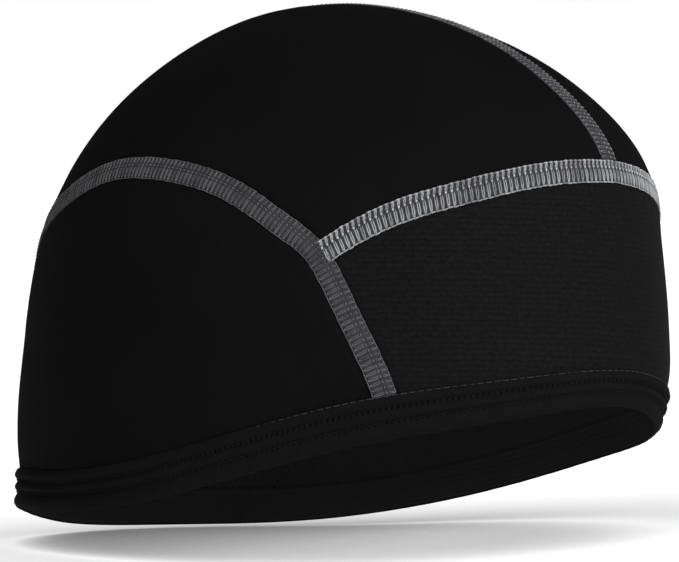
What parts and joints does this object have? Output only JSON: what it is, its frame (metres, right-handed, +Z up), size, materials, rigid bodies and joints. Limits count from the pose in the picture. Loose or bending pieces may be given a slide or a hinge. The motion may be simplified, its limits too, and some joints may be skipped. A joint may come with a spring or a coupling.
{
  "type": "helmet liner cap",
  "caption": "Close thin stretch skull cap worn under a helmet: arched ear panels, brow panel, split crown, flat covering seams and a folded binding.",
  "frame": {"origin": "the place inside the top of the crown where the head carries the cap", "axes": "+Z up through the crown, -Y towards the brow, -X towards the wearer's right"},
  "size_m": [0.1633, 0.2107, 0.1493],
  "materials": {
    "smooth_knit": "matt fine stretch knit",
    "ribbed_knit": "matt finely ribbed knit",
    "seam_thread": "matt covering stitches",
    "binding_knit": "matt folded binding"
  },
  "bodies": {
    "root": {"crown_right": "smooth_knit", "crown_left": "smooth_knit", "side_right": "smooth_knit", "side_left": "smooth_knit", "forehead_panel": "ribbed_knit", "side_seam_right": "seam_thread", "side_seam_left": "seam_thread", "forehead_seam": "seam_thread", "crown_seam": "seam_thread", "hem_band": "binding_knit"}
  },
  "joints": []
}
